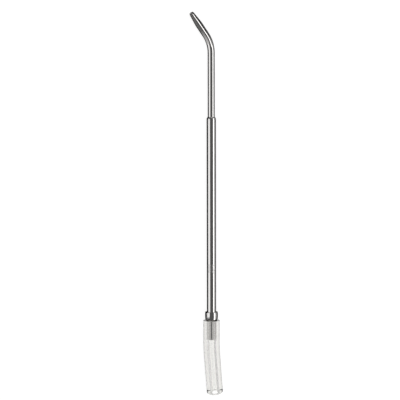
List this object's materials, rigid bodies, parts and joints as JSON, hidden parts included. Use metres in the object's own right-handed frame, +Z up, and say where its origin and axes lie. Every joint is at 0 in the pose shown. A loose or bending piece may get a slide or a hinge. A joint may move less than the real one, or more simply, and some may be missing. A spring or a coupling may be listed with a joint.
{
  "type": "oral surgery aspirator",
  "caption": "Slim polished suction tube with a bent tapered tip, a thicker handle sleeve, a rounded stop collar and a short soft adapter hose on its tail.",
  "frame": {"origin": "centre of the part's box in X and Y, on the surface that it lies on", "axes": "+Y along the tool towards its tip, +X to the side that the tip bends away from, +Z up from the surface that it lies on"},
  "size_m": [0.0226, 0.2616, 0.0114],
  "materials": {
    "tube_steel": "mirror polished stainless steel",
    "sleeve_steel": "mirror polished stainless steel with a faint lengthways polish",
    "collar_steel": "mirror polished stainless steel, turned",
    "silicone": "milky translucent silicone, smooth"
  },
  "bodies": {
    "root": {"suction_tube": "tube_steel", "handle_sleeve": "sleeve_steel", "stop_collar": "collar_steel", "adapter_hose": "silicone"}
  },
  "joints": []
}
